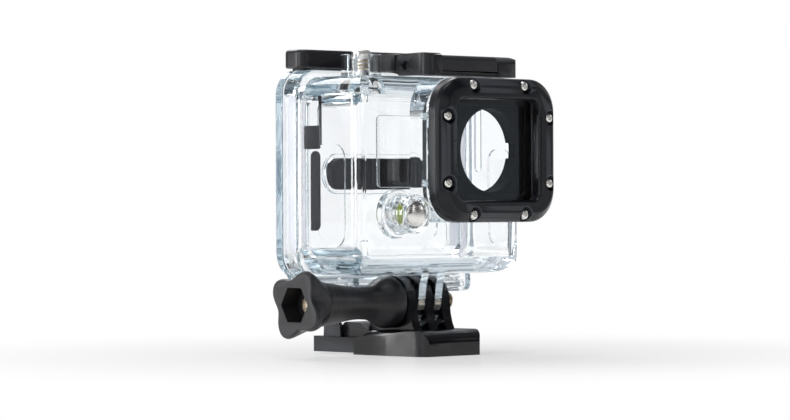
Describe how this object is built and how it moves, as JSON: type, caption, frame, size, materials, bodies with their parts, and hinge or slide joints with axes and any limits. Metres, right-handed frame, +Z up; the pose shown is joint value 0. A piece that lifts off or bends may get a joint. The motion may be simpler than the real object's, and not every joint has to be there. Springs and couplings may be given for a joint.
{
  "type": "waterproof camera housing",
  "caption": "Clear waterproof housing for a small action camera, with lens port, latch, sealed push buttons and hinged back door, clamped by a thumb screw to a quick-release buckle.",
  "frame": {"origin": "on the buckle's underside, on its centre line, 1.6 mm in front of the tilt axis", "axes": "+Z up out of the surface the buckle stands on, -Y the way the lens looks, +X towards the lens port's side"},
  "size_m": [0.0769, 0.0515, 0.0831],
  "materials": {
    "clear_plastic": "polished clear polycarbonate",
    "port_glass": "polished",
    "black_plastic": "satin moulded",
    "bezel_plastic": "satin moulded",
    "knob_plastic": "fine matte moulded",
    "pad_foam": "dull, finely ribbed",
    "clear_seal": "satin silicone",
    "black_rubber": "satin",
    "lime_silicone": "satin silicone",
    "stainless": "polished stainless",
    "bronze": "satin bronze"
  },
  "bodies": {
    "buckle": {"quick_release_buckle": "black_plastic", "captive_nut": "stainless"},
    "thumb_screw": {"thumb_knob": "knob_plastic", "thumb_bolt": "bronze"},
    "housing": {"housing_front": "clear_plastic", "lens_bezel": "bezel_plastic", "bezel_backing": "black_plastic", "lens_glass": "port_glass", "glass_gasket": "black_rubber", "lens_shroud": "black_plastic", "bezel_screw_1": "stainless", "bezel_screw_2": "stainless", "bezel_screw_3": "stainless", "bezel_screw_4": "stainless", "bezel_screw_5": "stainless", "bezel_screw_6": "stainless", "bezel_screw_7": "stainless", "bezel_screw_8": "stainless", "latch_base": "black_plastic", "latch_pin": "stainless", "release_spring": "stainless", "shutter_spring": "bronze", "shutter_seal": "black_rubber", "mode_spring": "bronze", "mode_seal": "lime_silicone", "pad_strip_left": "pad_foam", "pad_block_left": "pad_foam"},
    "back_door": {"back_door": "clear_plastic", "door_seal": "clear_seal", "door_pad": "pad_foam"},
    "latch_arm": {"latch_arm": "black_plastic"},
    "latch_release": {"latch_release": "black_plastic"},
    "shutter_button": {"shutter_button": "stainless", "shutter_clip": "stainless"},
    "mode_button": {"mode_button": "stainless", "mode_clip": "stainless"}
  },
  "joints": [
    {"name": "housing_tilt", "type": "hinge", "parent": "buckle", "child": "housing", "pos_m": [0, 0.0016, 0.01442], "axis": [1, 0, 0], "range_deg": [-25, 60]},
    {"name": "thumb_screw_turn", "type": "hinge", "parent": "buckle", "child": "thumb_screw", "pos_m": [0, 0.0016, 0.01442], "axis": [1, 0, 0], "continuous": true},
    {"name": "door_hinge", "type": "hinge", "parent": "housing", "child": "back_door", "pos_m": [0, 0.013, 0.0186], "axis": [-1, 0, 0], "range_deg": [0, 95]},
    {"name": "latch_arm_lift", "type": "hinge", "parent": "housing", "child": "latch_arm", "pos_m": [0, -0.0045, 0.0786], "axis": [1, 0, 0], "range_deg": [0, 85]},
    {"name": "latch_release_slide", "type": "slide", "parent": "housing", "child": "latch_release", "axis": [-1, 0, 0], "range_m": [0, 0.0025], "stiffness_N_per_m": 300, "springref_m": -0.002, "deforming": ["release_spring"]},
    {"name": "shutter_press", "type": "slide", "parent": "housing", "child": "shutter_button", "axis": [0, 0, -1], "range_m": [0, 0.0015], "stiffness_N_per_m": 1200, "springref_m": -0.001, "deforming": ["shutter_spring"]},
    {"name": "mode_press", "type": "slide", "parent": "housing", "child": "mode_button", "axis": [0, 1, 0], "range_m": [0, 0.0015], "stiffness_N_per_m": 1200, "springref_m": -0.001, "deforming": ["mode_spring"]}
  ]
}
